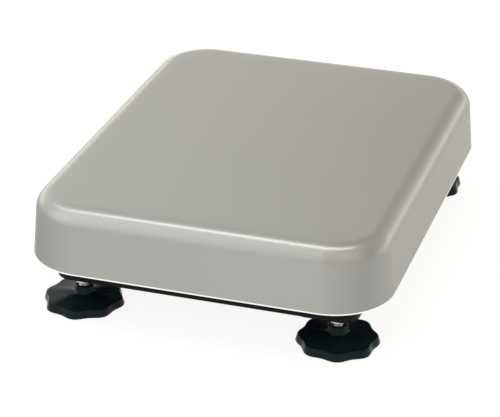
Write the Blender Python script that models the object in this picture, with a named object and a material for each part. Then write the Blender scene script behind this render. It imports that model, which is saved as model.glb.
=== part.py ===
"""Bench weighing scale for small animals.

A deep-drawn stainless pan lifts off four rubber bumpers. The bumpers stand on a platform that one
single-point load cell carries above a black steel base frame. The base stands on four screw feet.

Metres, +Z up. The origin is on the floor under the middle of the pan, and the front is at -Y.
"""
from math import cos, pi, radians, sin

import bmesh
import bpy
from mathutils import Matrix, Vector

# ---------------------------------------------------------------- driving dimensions
GAP = 0.0003                # clearance left between pieces that touch

PAN_WIDTH = 0.300
PAN_DEPTH = 0.380
PAN_TOP = 0.100             # height of the weighing surface over the floor
PAN_RIM = 0.0452           # height of the pan's lower edge
PAN_CORNER = 0.050          # plan radius of the corners at the rim
PAN_BEND = 0.0156           # radius of the drawn edge round the top
PAN_DRAFT = 0.0033          # how far the skirt leans in from rim to bend
PAN_SHEET = 0.0015

FRAME_HALF_X = 0.1264
FRAME_HALF_Y = 0.169
FRAME_BOTTOM = 0.0285
FRAME_TOP = 0.055
FRAME_CORNER = 0.014
RAIL_WIDTH = 0.018
RAIL_WALL = 0.002
BRACKET_SIZE = 0.044

FOOT_X = 0.1075
FOOT_Y = 0.150
DISC_LOBES = 8
DISC_RADIUS = 0.0322        # over the lobes, at the top of the rim
DISC_FLARE = 0.0014         # how much wider the rim is at the bottom
DISC_VALLEY = 0.0027        # depth of the scallops
DISC_BOTTOM = 0.0012
DISC_RIM = 0.0078           # top of the rim, where the crown begins
DISC_CROWN = 0.0104         # height of the crown where it meets the hub
HUB_ACROSS_FLATS = 0.0148
HUB_ROUNDING = 0.96
HUB_TOP = 0.0172
DISC_STEPS = 6 * DISC_LOBES
SOLE_RADIUS = 0.026
SOLE_TOP = 0.003
STUD_RADIUS = 0.004         # M8
STUD_BOTTOM = 0.0065
STUD_TOP = 0.058
NUT_ACROSS_FLATS = 0.013
NUT_BOTTOM = 0.0198
NUT_TOP = 0.0263
BOSS_RADIUS = 0.007
BOSS_FLANGE = 0.0092

BEAM_HALF_X = 0.035         # flat bar that carries the load cell
BEAM_BOTTOM = 0.0395
BEAM_THICKNESS = 0.006

CELL_LENGTH = 0.140
CELL_WIDTH = 0.034
CELL_HEIGHT = 0.024
CELL_HOLE_RADIUS = 0.008    # the two round holes of the flexure
CELL_HOLE_Y = 0.013
CELL_BOLT_X = 0.0085
CELL_BOLT_Y = 0.060
SPACER_HEIGHT = 0.003
SPACER_LENGTH = 0.022
SCREW_HEAD_RADIUS = 0.0065
SCREW_HEAD_HEIGHT = 0.0075
SCREW_SOCKET = 0.006
UPPER_SCREW_LENGTH = 0.018
LOWER_SCREW_LENGTH = 0.020

PLATE_HALF_X = 0.1075
PLATE_HALF_Y = 0.075
PLATE_THICKNESS = 0.004
TUBE_X = 0.095              # centre lines of the two platform tubes
TUBE_WIDTH = 0.025
TUBE_HEIGHT = 0.012
TUBE_HALF_LENGTH = 0.146
TUBE_WALL = 0.002
BUMPER_Y = 0.128
BUMPER_RADIUS = 0.009

STOP_Y = 0.136
STOP_RADIUS = 0.003         # M6
STOP_GAP = 0.0008           # travel left before the platform meets its stops

GLAND_X = 0.069
GLAND_Z = 0.043
LEAD_RADIUS = 0.0021

LEVEL_X = -0.045
LEVEL_RADIUS = 0.0078

# ---------------------------------------------------------------- derived heights
BEAM_TOP = BEAM_BOTTOM + BEAM_THICKNESS
LOWER_SPACER_BOTTOM = BEAM_TOP + GAP
CELL_BOTTOM = LOWER_SPACER_BOTTOM + SPACER_HEIGHT + GAP
CELL_TOP = CELL_BOTTOM + CELL_HEIGHT
UPPER_SPACER_BOTTOM = CELL_TOP + GAP
PLATE_BOTTOM = UPPER_SPACER_BOTTOM + SPACER_HEIGHT + GAP
PLATE_TOP = PLATE_BOTTOM + PLATE_THICKNESS
TUBE_BOTTOM = PLATE_TOP + GAP
TUBE_TOP = TUBE_BOTTOM + TUBE_HEIGHT
BUMPER_TOP = PAN_TOP - PAN_SHEET - GAP

CORNERS = {
    "front_left": (-1, -1),
    "front_right": (1, -1),
    "rear_left": (-1, 1),
    "rear_right": (1, 1),
}

# How far each foot is turned on its thread, in degrees: no two stop at the same place
DISC_TURN = {
    "front_left": -85,
    "front_right": -76.5,
    "rear_left": 35,
    "rear_right": -18,
}


# ---------------------------------------------------------------- scene and materials
def clear_scene():
    for existing in list(bpy.data.objects):
        bpy.data.objects.remove(existing, do_unlink=True)


def material(name, colour, roughness, metallic=0.0, alpha=1.0):
    made = bpy.data.materials.new(name)
    made.use_nodes = True
    shader = made.node_tree.nodes["Principled BSDF"]
    shader.inputs["Base Color"].default_value = (*colour, 1.0)
    shader.inputs["Roughness"].default_value = roughness
    shader.inputs["Metallic"].default_value = metallic
    shader.inputs["Alpha"].default_value = alpha
    return made


def make_materials():
    return {
        "stainless": material("satin_stainless", (0.62, 0.61, 0.58), 0.32, 1.0),
        "frame": material("black_powder_coat", (0.012, 0.013, 0.014), 0.5),
        "nylon": material("black_nylon", (0.006, 0.010, 0.012), 0.4),
        "rubber": material("grey_rubber", (0.035, 0.036, 0.037), 0.8),
        "zinc": material("zinc_plated_steel", (0.72, 0.72, 0.70), 0.3, 1.0),
        "aluminium": material("anodised_aluminium", (0.70, 0.70, 0.71), 0.35, 1.0),
        "glass": material("level_liquid", (0.45, 0.75, 0.12), 0.05, 0.0, 0.5),
        "cable": material("grey_cable_jacket", (0.09, 0.09, 0.095), 0.55),
    }


# ---------------------------------------------------------------- mesh tools
def add_object(name, bm, mat, parent=None, location=(0.0, 0.0, 0.0), smooth_angle=None):
    """Turn a bmesh, drawn about its own origin, into a placed and named object."""
    bmesh.ops.recalc_face_normals(bm, faces=bm.faces)
    mesh = bpy.data.meshes.new(name)
    bm.to_mesh(mesh)
    bm.free()
    if smooth_angle:
        mesh.shade_smooth()
        mesh.set_sharp_from_angle(angle=radians(smooth_angle))
    made = bpy.data.objects.new(name, mesh)
    bpy.context.scene.collection.objects.link(made)
    if mat:
        mesh.materials.append(mat)
    made.parent = parent
    made.location = location
    return made


def add_empty(name, location, parent=None):
    made = bpy.data.objects.new(name, None)
    bpy.context.scene.collection.objects.link(made)
    made.parent = parent
    made.location = location
    return made


def add_box(bm, low, high):
    """A plain box between two corners."""
    size = Vector(high) - Vector(low)
    centre = (Vector(high) + Vector(low)) / 2
    place = Matrix.Translation(centre) @ Matrix.Diagonal((*size, 1.0))
    bmesh.ops.create_cube(bm, size=1.0, matrix=place)


def box_mesh(low, high):
    bm = bmesh.new()
    add_box(bm, low, high)
    return bm


def join_rings(bm, rings, closed=False):
    """Skin a list of equal rings of vertices; cap both ends, or join the last to the first."""
    pairs = list(zip(rings, rings[1:]))
    if closed:
        pairs.append((rings[-1], rings[0]))
    for lower, upper in pairs:
        count = len(lower)
        for i in range(count):
            j = (i + 1) % count
            bm.faces.new((lower[i], lower[j], upper[j], upper[i]))
    if not closed:
        bm.faces.new(list(reversed(rings[0])))
        bm.faces.new(rings[-1])


def hexagon(across_flats, rounding=1.0):
    """Radius of a hexagon at a given angle, with a corner at angle 0. Rounding below 1 blunts it."""
    def radius(angle):
        sharp = across_flats / 2 / cos((angle % (pi / 3)) - pi / 6)
        return min(sharp, rounding * across_flats / 2 / cos(pi / 6))
    return radius


def scallops(outer):
    """Radius of the foot's scalloped rim: broad lobes, one at angle 0, with rounded valleys between."""
    def radius(angle):
        return outer - DISC_VALLEY * (0.5 - 0.5 * cos(DISC_LOBES * angle))
    return radius


def hub_flats(inset):
    """Radius of the hub's blunted hexagon, a flat at angle 0, drawn in by an inset."""
    hub = hexagon(HUB_ACROSS_FLATS - 2 * inset, HUB_ROUNDING)
    return lambda angle: hub(angle + pi / 6)


def turn(bm, profile, steps, closed=False, place=None):
    """Turn a profile of (radius, height) about Z. A radius may be a number or a function of angle."""
    place = place or Matrix.Identity(4)
    rings = []
    for radius, height in profile:
        ring = []
        for k in range(steps):
            angle = 2 * pi * k / steps
            r = radius(angle) if callable(radius) else radius
            ring.append(bm.verts.new(place @ Vector((r * cos(angle), r * sin(angle), height))))
        rings.append(ring)
    join_rings(bm, rings, closed)


def turned_mesh(profile, steps, closed=False, place=None):
    bm = bmesh.new()
    turn(bm, profile, steps, closed, place)
    return bm


def rounded_ring(bm, half_x, half_y, radius, height, steps):
    """Vertices round a rectangle with round corners, anticlockwise."""
    ring = []
    for quarter, (sx, sy) in enumerate(((1, 1), (-1, 1), (-1, -1), (1, -1))):
        for k in range(steps + 1):
            angle = pi / 2 * (quarter + k / steps)
            x = sx * (half_x - radius) + radius * cos(angle)
            y = sy * (half_y - radius) + radius * sin(angle)
            ring.append(bm.verts.new((x, y, height)))
    return ring


def tube_mesh(half_length, width, height, wall):
    """Rectangular tube along Y, open at both ends and centred on its origin."""
    bm = bmesh.new()
    rings = []
    for y, inset in ((-half_length, 0), (half_length, 0), (half_length, wall), (-half_length, wall)):
        hx = width / 2 - inset
        hz = height / 2 - inset
        corners = ((-hx, -hz), (hx, -hz), (hx, hz), (-hx, hz))
        rings.append([bm.verts.new((x, y, z)) for x, z in corners])
    join_rings(bm, rings, closed=True)
    return bm


def pointing(axis):
    """Rotation that takes +Z to the given axis."""
    return Vector((0, 0, 1)).rotation_difference(Vector(axis)).to_matrix().to_4x4()


def add_cutter(target, name, bm):
    """Cut a bmesh, given in the target's own coordinates, out of the target."""
    cutter = add_object(name, bm, None, parent=target)
    cutter.hide_render = True
    cutter.display_type = "WIRE"
    cut = target.modifiers.new(name, "BOOLEAN")
    cut.operation = "DIFFERENCE"
    cut.solver = "EXACT"
    cut.object = cutter
    return cutter


def drill(target, name, radius, centres, low, high, steps=16):
    """Round holes along Z between two heights, one at each (x, y)."""
    bm = bmesh.new()
    for x, y in centres:
        turn(bm, [(radius, low), (radius, high)], steps, place=Matrix.Translation((x, y, 0)))
    add_cutter(target, name, bm)


def add_screw(name, mat, parent, location, length, axis):
    """M8 socket-head screw, its origin under the head and its head towards the axis."""
    socket = hexagon(SCREW_SOCKET)
    profile = [
        (STUD_RADIUS * 0.8, -length),
        (STUD_RADIUS, -length + 0.0012),
        (STUD_RADIUS, 0.0),
        (SCREW_HEAD_RADIUS, 0.0),
        (SCREW_HEAD_RADIUS, SCREW_HEAD_HEIGHT),
        (socket, SCREW_HEAD_HEIGHT),
        (socket, SCREW_HEAD_HEIGHT / 2),
    ]
    bm = turned_mesh(profile, 12, place=pointing(axis))
    add_object(name, bm, mat, parent, location, 30)


# ---------------------------------------------------------------- pan
def pan_rings(bm, inset, bend, top, rim, steps=7, bend_steps=4):
    """Rings of one skin of the pan, from the rim up the skirt and round the bend."""
    half_x = PAN_WIDTH / 2 - inset
    half_y = PAN_DEPTH / 2 - inset
    corner = PAN_CORNER - inset
    rings = [rounded_ring(bm, half_x, half_y, corner, rim, steps)]
    for k in range(bend_steps + 1):
        angle = pi / 2 * k / bend_steps
        lean = PAN_DRAFT + bend * (1 - cos(angle))
        height = top - bend + bend * sin(angle)
        rings.append(rounded_ring(bm, half_x - lean, half_y - lean, corner - lean, height, steps))
    return rings


def make_pan(mats, parent):
    bm = bmesh.new()
    outer = pan_rings(bm, 0.0, PAN_BEND, PAN_TOP, PAN_RIM)
    inner = pan_rings(bm, PAN_SHEET, PAN_BEND - PAN_SHEET, PAN_TOP - PAN_SHEET, PAN_RIM)
    join_rings(bm, list(reversed(inner)) + outer)
    bmesh.ops.translate(bm, verts=bm.verts, vec=(0, 0, -PAN_TOP))
    add_object("weighing_pan", bm, mats["stainless"], parent, (0, 0, PAN_TOP), 35)


# ---------------------------------------------------------------- platform
def make_platform(mats, parent):
    bolts = [(side * CELL_BOLT_X, -CELL_BOLT_Y) for side in (-1, 1)]
    plate = box_mesh((-PLATE_HALF_X, -PLATE_HALF_Y, PLATE_BOTTOM), (PLATE_HALF_X, PLATE_HALF_Y, PLATE_TOP))
    plate = add_object("platform_plate", plate, mats["frame"], parent)
    drill(plate, "cut_plate_bolts", STUD_RADIUS + GAP, bolts, PLATE_BOTTOM - 0.01, PLATE_TOP + 0.01)

    spacer_y = -(CELL_LENGTH - SPACER_LENGTH) / 2
    low = (-CELL_WIDTH / 2, spacer_y - SPACER_LENGTH / 2, UPPER_SPACER_BOTTOM)
    high = (CELL_WIDTH / 2, spacer_y + SPACER_LENGTH / 2, UPPER_SPACER_BOTTOM + SPACER_HEIGHT)
    spacer = add_object("upper_spacer", box_mesh(low, high), mats["zinc"], parent)
    drill(spacer, "cut_upper_spacer", STUD_RADIUS + GAP, bolts, low[2] - 0.01, high[2] + 0.01)

    for (x, y), word in zip(bolts, ("left", "right")):
        seat = (x, y, PLATE_TOP + GAP)
        add_screw("upper_cell_screw_" + word, mats["zinc"], parent, seat, UPPER_SCREW_LENGTH, (0, 0, 1))

    for side, word in ((-1, "left"), (1, "right")):
        centre = (side * TUBE_X, 0.0, (TUBE_BOTTOM + TUBE_TOP) / 2)
        tube = tube_mesh(TUBE_HALF_LENGTH, TUBE_WIDTH, TUBE_HEIGHT, TUBE_WALL)
        add_object("platform_tube_" + word, tube, mats["frame"], parent, centre)

    for name, (sx, sy) in CORNERS.items():
        low = TUBE_TOP + GAP
        height = BUMPER_TOP - low
        profile = [
            (BUMPER_RADIUS - 0.0006, 0.0),
            (BUMPER_RADIUS, 0.0008),
            (BUMPER_RADIUS - 0.0004, height * 0.7),
            (BUMPER_RADIUS - 0.0022, height),
        ]
        place = (sx * TUBE_X, sy * BUMPER_Y, low)
        add_object("pan_bumper_" + name, turned_mesh(profile, 18), mats["rubber"], parent, place, 40)


# ---------------------------------------------------------------- load cell and its mounting
def make_load_cell(mats, parent):
    half = (CELL_WIDTH / 2, CELL_LENGTH / 2, CELL_HEIGHT / 2)
    middle = (CELL_BOTTOM + CELL_TOP) / 2
    bm = box_mesh((-half[0], -half[1], -half[2]), half)
    bmesh.ops.bevel(bm, geom=bm.edges[:], offset=0.0008, segments=1, affect="EDGES")
    cell = add_object("load_cell", bm, mats["aluminium"], parent, (0, 0, middle))
    for side in (-1, 1):
        place = Matrix.Translation((-0.03, side * CELL_HOLE_Y, 0)) @ pointing((1, 0, 0))
        hole = turned_mesh([(CELL_HOLE_RADIUS, 0), (CELL_HOLE_RADIUS, 0.06)], 20, place=place)
        add_cutter(cell, "cut_flexure_%d" % (side + 2), hole)
    slot = box_mesh((-0.03, -CELL_HOLE_Y, -0.0025), (0.03, CELL_HOLE_Y, 0.0025))
    add_cutter(cell, "cut_flexure_slot", slot)
    upper = [(side * CELL_BOLT_X, -CELL_BOLT_Y) for side in (-1, 1)]
    lower = [(side * CELL_BOLT_X, CELL_BOLT_Y) for side in (-1, 1)]
    drill(cell, "cut_cell_upper", STUD_RADIUS + GAP, upper, 0.0, 0.02)
    drill(cell, "cut_cell_lower", STUD_RADIUS + GAP, lower, -0.02, 0.0)


def make_cell_mounting(mats, parent):
    bolts = [(side * CELL_BOLT_X, CELL_BOLT_Y) for side in (-1, 1)]
    beam_half_y = FRAME_HALF_Y - RAIL_WIDTH - GAP
    bm = box_mesh((-BEAM_HALF_X, -beam_half_y, BEAM_BOTTOM), (BEAM_HALF_X, beam_half_y, BEAM_TOP))
    beam = add_object("load_cell_beam", bm, mats["frame"], parent)
    drill(beam, "cut_beam_bolts", STUD_RADIUS + GAP, bolts, BEAM_BOTTOM - 0.01, BEAM_TOP + 0.01)

    spacer_y = (CELL_LENGTH - SPACER_LENGTH) / 2
    low = (-CELL_WIDTH / 2, spacer_y - SPACER_LENGTH / 2, LOWER_SPACER_BOTTOM)
    high = (CELL_WIDTH / 2, spacer_y + SPACER_LENGTH / 2, LOWER_SPACER_BOTTOM + SPACER_HEIGHT)
    spacer = add_object("lower_spacer", box_mesh(low, high), mats["zinc"], parent)
    drill(spacer, "cut_lower_spacer", STUD_RADIUS + GAP, bolts, low[2] - 0.01, high[2] + 0.01)

    for (x, y), word in zip(bolts, ("left", "right")):
        seat = (x, y, BEAM_BOTTOM - GAP)
        add_screw("lower_cell_screw_" + word, mats["zinc"], parent, seat, LOWER_SCREW_LENGTH, (0, 0, -1))


# ---------------------------------------------------------------- base frame
def make_rails(mats, parent):
    middle = (FRAME_BOTTOM + FRAME_TOP) / 2
    height = FRAME_TOP - FRAME_BOTTOM
    long_half = FRAME_HALF_Y - BRACKET_SIZE - GAP
    short_half = FRAME_HALF_X - BRACKET_SIZE - GAP
    for side, word in ((-1, "left"), (1, "right")):
        bm = tube_mesh(long_half, RAIL_WIDTH, height, RAIL_WALL)
        place = (side * (FRAME_HALF_X - RAIL_WIDTH / 2), 0, middle)
        add_object("base_rail_" + word, bm, mats["frame"], parent, place)
    for side, word in ((-1, "front"), (1, "rear")):
        bm = tube_mesh(short_half, RAIL_WIDTH, height, RAIL_WALL)
        bmesh.ops.rotate(bm, verts=bm.verts, matrix=Matrix.Rotation(pi / 2, 3, "Z"))
        place = (0, side * (FRAME_HALF_Y - RAIL_WIDTH / 2), middle)
        rail = add_object("base_rail_" + word, bm, mats["frame"], parent, place)
        if word == "rear":
            start = Matrix.Translation((GLAND_X, -0.02, GLAND_Z - middle)) @ pointing((0, 1, 0))
            bore = turned_mesh([(0.006 + GAP, 0), (0.006 + GAP, 0.04)], 20, place=start)
            add_cutter(rail, "cut_gland_hole", bore)


def make_corner_bracket(name, sx, sy, mats, parent):
    """Cast corner of the frame, drawn about the foot's axis, with its outer corner rounded."""
    far_x = FRAME_HALF_X - FOOT_X
    far_y = FRAME_HALF_Y - FOOT_Y
    near_x = far_x - BRACKET_SIZE
    near_y = far_y - BRACKET_SIZE
    outline = [(near_x, near_y), (far_x, near_y)]
    for k in range(7):
        angle = pi / 2 * k / 6
        x = far_x - FRAME_CORNER + FRAME_CORNER * cos(angle)
        y = far_y - FRAME_CORNER + FRAME_CORNER * sin(angle)
        outline.append((x, y))
    outline.append((near_x, far_y))
    bm = bmesh.new()
    rings = []
    for z in (FRAME_BOTTOM, FRAME_TOP):
        rings.append([bm.verts.new((sx * x, sy * y, z)) for x, y in outline])
    join_rings(bm, rings)
    bracket = add_object("corner_" + name, bm, mats["frame"], parent, (sx * FOOT_X, sy * FOOT_Y, 0))
    drill(bracket, "cut_boss_" + name, BOSS_RADIUS + GAP, [(0, 0)], 0.0, 0.1, 20)
    stop = (sx * (TUBE_X - FOOT_X), sy * (STOP_Y - FOOT_Y))
    drill(bracket, "cut_stop_" + name, STOP_RADIUS + GAP, [stop], 0.039, 0.1, 12)


def make_foot_mount(name, sx, sy, mats, parent):
    """Threaded boss through the corner, and the nut that locks the stud against it."""
    place = (sx * FOOT_X, sy * FOOT_Y, 0)
    bore = (STUD_RADIUS + GAP) / cos(pi / 20)
    profile = [
        (bore, NUT_TOP + GAP),
        (BOSS_RADIUS, NUT_TOP + GAP),
        (BOSS_RADIUS, FRAME_TOP + GAP),
        (BOSS_FLANGE, FRAME_TOP + GAP),
        (BOSS_FLANGE, FRAME_TOP + 0.0023),
        (bore, FRAME_TOP + 0.0023),
    ]
    boss = turned_mesh(profile, 20, closed=True)
    add_object("foot_boss_" + name, boss, mats["frame"], parent, place, 30)

    bore = (STUD_RADIUS + GAP) / cos(pi / 12)
    flats = hexagon(NUT_ACROSS_FLATS)
    profile = [(bore, NUT_BOTTOM), (flats, NUT_BOTTOM), (flats, NUT_TOP), (bore, NUT_TOP)]
    nut = turned_mesh(profile, 12, closed=True)
    add_object("lock_nut_" + name, nut, mats["zinc"], parent, place)


def make_stop(name, sx, sy, mats, parent):
    """Overload stop: a stud with a nut in the corner, just short of the platform tube."""
    place = (sx * TUBE_X, sy * STOP_Y, 0)
    top = TUBE_BOTTOM - STOP_GAP
    stud = [(0.0024, 0.040), (STOP_RADIUS, 0.0408), (STOP_RADIUS, top - 0.001), (0.0022, top)]
    add_object("stop_stud_" + name, turned_mesh(stud, 12), mats["zinc"], parent, place, 30)

    bore = (STOP_RADIUS + GAP) / cos(pi / 12)
    flats = hexagon(0.010)
    low = FRAME_TOP + GAP
    nut = [(bore, low), (flats, low), (flats, low + 0.005), (bore, low + 0.005)]
    add_object("stop_nut_" + name, turned_mesh(nut, 12, closed=True), mats["zinc"], parent, place)


def make_bubble_level(mats, parent):
    """Round spirit level bonded to the rear rail, under the pan."""
    place = (LEVEL_X, FRAME_HALF_Y - RAIL_WIDTH / 2, FRAME_TOP + GAP)
    floor = 0.002
    rim = 0.0095
    cup = LEVEL_RADIUS - 0.0012
    profile = [(LEVEL_RADIUS, 0.0), (LEVEL_RADIUS, rim), (cup, rim), (cup, floor)]
    add_object("level_housing", turned_mesh(profile, 20), mats["nylon"], parent, place, 30)
    glass = cup - GAP
    profile = [(glass, floor + GAP), (glass, rim - 0.001), (glass * 0.6, rim + 0.0002)]
    add_object("level_vial", turned_mesh(profile, 20), mats["glass"], parent, place, 30)


def make_gland(mats, parent):
    """Cable gland through the rear rail: the lead of the load cell leaves the base here."""
    frame_at = Matrix.Translation((GLAND_X, 0, GLAND_Z)) @ pointing((0, 1, 0))
    outer = FRAME_HALF_Y + GAP
    inner = FRAME_HALF_Y - RAIL_WIDTH - GAP
    bore = LEAD_RADIUS + 0.0009
    flats = hexagon(0.015)
    body = [
        (bore, inner - 0.006),
        (0.006, inner - 0.006),
        (0.006, outer),
        (flats, outer),
        (flats, outer + 0.003),
        (0.0055, outer + 0.003),
        (0.0055, outer + 0.007),
        (bore, outer + 0.007),
    ]
    bm = turned_mesh(body, 24, closed=True, place=frame_at)
    add_object("gland_body", bm, mats["nylon"], parent, smooth_angle=30)

    nut_bore = 0.006 + GAP * 1.2
    flats = hexagon(0.016)
    nut = [
        (nut_bore, inner - 0.0045),
        (flats, inner - 0.0045),
        (flats, inner),
        (nut_bore, inner),
    ]
    bm = turned_mesh(nut, 24, closed=True, place=frame_at)
    add_object("gland_lock_nut", bm, mats["nylon"], parent)

    seat = outer + 0.003 + GAP
    cap_bore = 0.0055 + GAP * 1.2
    cap = [
        (cap_bore, seat),
        (0.0072, seat),
        (0.0072, seat + 0.006),
        (0.0052, seat + 0.0105),
        (0.0036, seat + 0.0105),
        (0.0036, seat + 0.0085),
        (cap_bore, seat + 0.0075),
    ]
    bm = turned_mesh(cap, 24, closed=True, place=frame_at)
    add_object("gland_cap", bm, mats["nylon"], parent, smooth_angle=30)

    seal = [
        (0.0024, outer + 0.0074),
        (0.0048, outer + 0.0074),
        (0.0048, outer + 0.0092),
        (0.0031, outer + 0.0102),
        (0.0031, outer + 0.0128),
        (0.0024, outer + 0.0128),
    ]
    bm = turned_mesh(seal, 20, closed=True, place=frame_at)
    add_object("gland_seal", bm, mats["rubber"], parent, smooth_angle=30)


def smooth_route(points, count):
    """Points spread along a Catmull-Rom curve through the route's own points."""
    points = [Vector(p) for p in points]
    ends = [2 * points[0] - points[1]] + points + [2 * points[-1] - points[-2]]
    spans = len(points) - 1
    route = []
    for k in range(count):
        u = k / (count - 1) * spans
        i = min(int(u), spans - 1)
        t = u - i
        a, b, c, d = ends[i:i + 4]
        route.append((2 * b + (c - a) * t + (2 * a - 5 * b + 4 * c - d) * t ** 2
                      + (3 * b - a - 3 * c + d) * t ** 3) / 2)
    return route


def make_lead(mats, parent):
    """Lead from the load cell's side into the gland."""
    start = CELL_WIDTH / 2 + GAP
    route = [
        (start, 0.040, 0.061),
        (start + 0.007, 0.041, 0.0605),
        (0.036, 0.052, 0.057),
        (0.046, 0.078, 0.052),
        (0.056, 0.105, 0.047),
        (GLAND_X - 0.001, 0.128, GLAND_Z + 0.0005),
        (GLAND_X, 0.143, GLAND_Z),
        (GLAND_X, 0.158, GLAND_Z),
    ]
    curve = bpy.data.curves.new("load_cell_lead", "CURVE")
    curve.dimensions = "3D"
    curve.bevel_depth = LEAD_RADIUS
    curve.bevel_resolution = 2
    curve.use_fill_caps = True
    spline = curve.splines.new("POLY")
    points = smooth_route(route, 26)
    spline.points.add(len(points) - 1)
    for spot, place in zip(spline.points, points):
        spot.co = (*place, 1.0)
    made = bpy.data.objects.new("load_cell_lead", curve)
    curve.materials.append(mats["cable"])
    bpy.context.scene.collection.objects.link(made)
    made.parent = parent


# ---------------------------------------------------------------- feet
def make_foot(name, sx, sy, mats, parent):
    """Scalloped disc moulded on an M8 stud, over a rubber sole. Origins lie on the screw axis."""
    axis = add_empty("foot_axis_" + name, (sx * FOOT_X, sy * FOOT_Y, 0), parent)

    recess = SOLE_RADIUS + GAP
    stud_hole = (STUD_RADIUS + GAP) / cos(pi / DISC_STEPS)
    disc = [
        (recess, SOLE_TOP + GAP),
        (recess, DISC_BOTTOM),
        (scallops(DISC_RADIUS + DISC_FLARE), DISC_BOTTOM),
        (scallops(DISC_RADIUS), DISC_RIM - 0.0007),
        (scallops(DISC_RADIUS - 0.0008), DISC_RIM),
        (hub_flats(0.0), DISC_CROWN),
        (hub_flats(0.0), HUB_TOP - 0.0010),
        (hub_flats(0.0012), HUB_TOP),
        (stud_hole, HUB_TOP),
        (stud_hole, STUD_BOTTOM - GAP),
    ]
    bm = turned_mesh(disc, DISC_STEPS)
    disc = add_object("foot_disc_" + name, bm, mats["nylon"], axis, smooth_angle=30)
    disc.rotation_euler.z = radians(DISC_TURN[name])

    stud = [
        (STUD_RADIUS, STUD_BOTTOM),
        (STUD_RADIUS, STUD_TOP - 0.001),
        (STUD_RADIUS - 0.001, STUD_TOP),
    ]
    add_object("foot_stud_" + name, turned_mesh(stud, 20), mats["zinc"], axis, smooth_angle=30)

    sole = [
        (SOLE_RADIUS - 0.0008, 0.0),
        (SOLE_RADIUS, 0.0008),
        (SOLE_RADIUS, SOLE_TOP),
    ]
    add_object("foot_sole_" + name, turned_mesh(sole, 32), mats["rubber"], axis, smooth_angle=30)


def main():
    clear_scene()
    mats = make_materials()
    base = add_empty("base", (0, 0, 0))
    platform = add_empty("platform", (0, 0, 0), base)
    make_pan(mats, platform)
    make_platform(mats, platform)
    make_load_cell(mats, base)
    make_cell_mounting(mats, base)
    make_rails(mats, base)
    for name, (sx, sy) in CORNERS.items():
        make_corner_bracket(name, sx, sy, mats, base)
        make_foot_mount(name, sx, sy, mats, base)
        make_stop(name, sx, sy, mats, base)
        make_foot(name, sx, sy, mats, base)
    make_bubble_level(mats, base)
    make_gland(mats, base)
    make_lead(mats, base)


main()
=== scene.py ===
"""Looks of the bench weighing scale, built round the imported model."""
from math import cos, pi, radians, sin

import bmesh
import bpy
from mathutils import Matrix, Vector


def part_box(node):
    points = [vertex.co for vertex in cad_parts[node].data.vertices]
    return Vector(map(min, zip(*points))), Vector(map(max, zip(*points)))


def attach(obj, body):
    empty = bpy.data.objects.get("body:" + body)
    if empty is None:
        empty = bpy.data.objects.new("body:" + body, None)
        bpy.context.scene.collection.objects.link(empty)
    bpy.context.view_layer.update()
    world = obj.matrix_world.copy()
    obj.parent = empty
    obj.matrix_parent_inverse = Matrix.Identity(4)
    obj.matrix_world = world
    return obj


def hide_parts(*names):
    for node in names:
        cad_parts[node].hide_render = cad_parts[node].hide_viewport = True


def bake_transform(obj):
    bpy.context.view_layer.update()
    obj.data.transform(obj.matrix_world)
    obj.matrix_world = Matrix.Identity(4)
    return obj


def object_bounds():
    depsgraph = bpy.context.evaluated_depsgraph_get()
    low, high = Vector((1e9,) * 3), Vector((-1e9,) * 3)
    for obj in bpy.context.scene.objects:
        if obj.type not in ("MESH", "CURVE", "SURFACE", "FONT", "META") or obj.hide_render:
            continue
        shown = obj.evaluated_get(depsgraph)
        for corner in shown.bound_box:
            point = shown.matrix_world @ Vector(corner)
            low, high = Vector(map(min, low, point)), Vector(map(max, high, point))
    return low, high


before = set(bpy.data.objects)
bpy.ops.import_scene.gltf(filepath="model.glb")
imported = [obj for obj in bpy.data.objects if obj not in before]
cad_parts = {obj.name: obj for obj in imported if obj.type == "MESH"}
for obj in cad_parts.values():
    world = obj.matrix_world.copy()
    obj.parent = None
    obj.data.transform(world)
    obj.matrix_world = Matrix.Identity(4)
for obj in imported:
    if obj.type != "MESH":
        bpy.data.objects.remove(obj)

cad_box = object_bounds()
HIGH = cad_box[1]

CORNERS = {
    "front_left": (-1, -1),
    "front_right": (1, -1),
    "rear_left": (-1, 1),
    "rear_right": (1, 1),
}
# How far each foot's disc is turned on its thread, in degrees
DISC_TURN = {"front_left": -85, "front_right": -76.5, "rear_left": 35, "rear_right": -18}


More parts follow.
